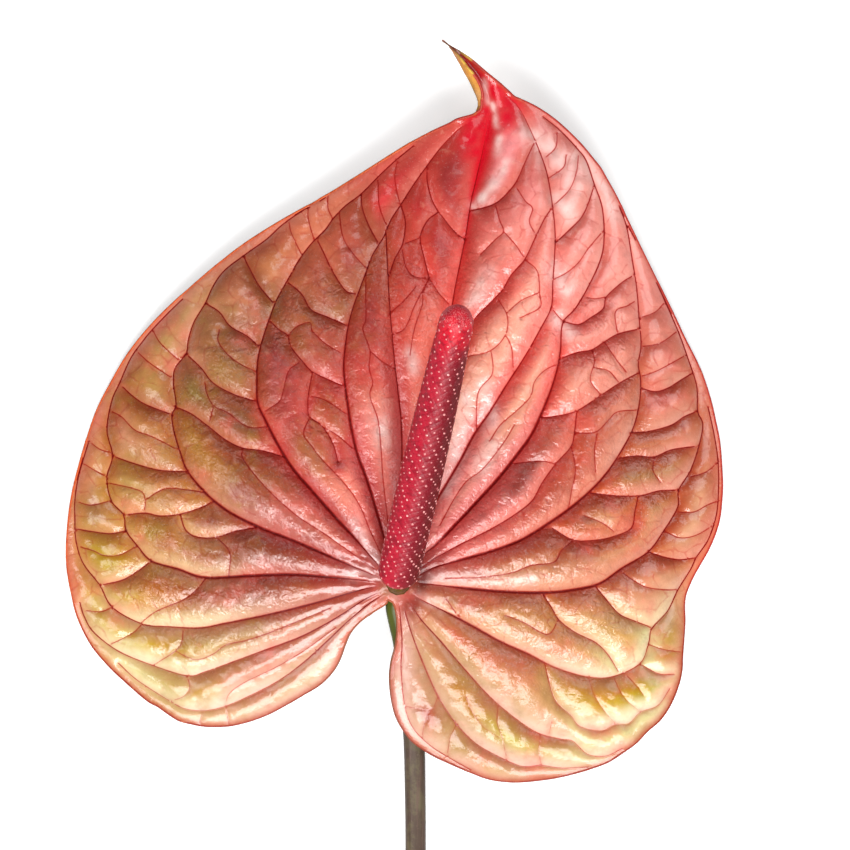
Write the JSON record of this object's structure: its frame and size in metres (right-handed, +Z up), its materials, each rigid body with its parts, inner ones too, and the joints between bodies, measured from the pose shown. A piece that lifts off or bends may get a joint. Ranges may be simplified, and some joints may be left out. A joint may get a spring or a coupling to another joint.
{
  "type": "anthurium flower",
  "caption": "Cut anthurium lying face up: a glossy heart-shaped puckered spathe with a curled tail, a slanting crimson spadix and a long bent stem.",
  "frame": {"origin": "middle of the flower's footprint, on the surface it lies on", "axes": "+Y along the stem and spathe towards the tail, +X to the flower's right as it is looked down on, +Z up out of the surface"},
  "size_m": [0.1404, 0.3552, 0.0574],
  "materials": {
    "spathe": "gloss",
    "spadix": "satin",
    "peduncle": "satin"
  },
  "bodies": {
    "root": {"spathe": "spathe", "spadix": "spadix", "peduncle": "peduncle"}
  },
  "joints": []
}
